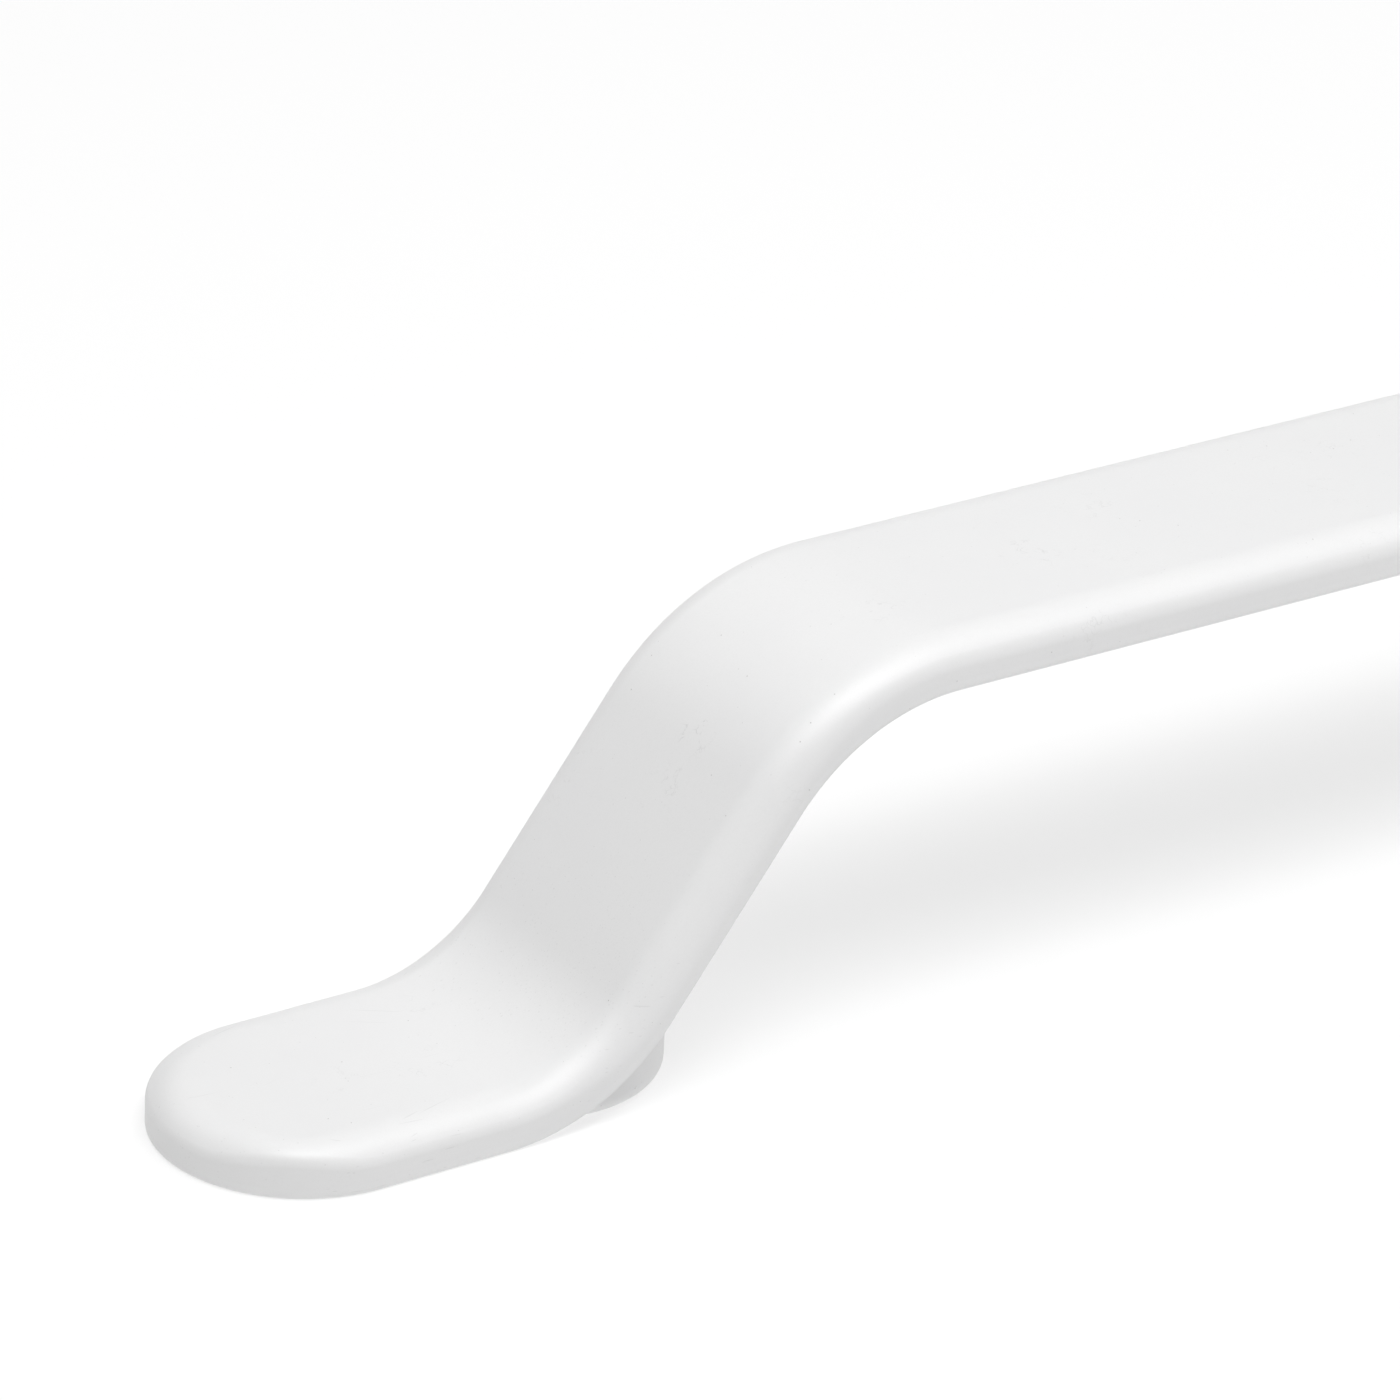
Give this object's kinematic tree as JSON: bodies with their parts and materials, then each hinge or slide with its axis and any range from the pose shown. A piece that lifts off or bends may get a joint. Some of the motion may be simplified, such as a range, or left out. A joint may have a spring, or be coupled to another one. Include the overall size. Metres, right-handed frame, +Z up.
{
  "type": "strap handle",
  "caption": "Moulded plastic strap handle for a cabinet door or drawer, with flat rounded tabs, a raised grip and threaded inserts in its feet.",
  "frame": {"origin": "on the mounting plane, midway between the two screw axes", "axes": "+X along the handle, +Y across its width, +Z up from the mounting plane to the grip"},
  "size_m": [0.189, 0.022, 0.0315],
  "materials": {
    "white_plastic": "satin moulded, fine specks and hairline scratches",
    "insert_brass": "turned and knurled, slightly dull"
  },
  "bodies": {
    "root": {"handle_moulding": "white_plastic", "left_insert": "insert_brass", "right_insert": "insert_brass"}
  },
  "joints": []
}
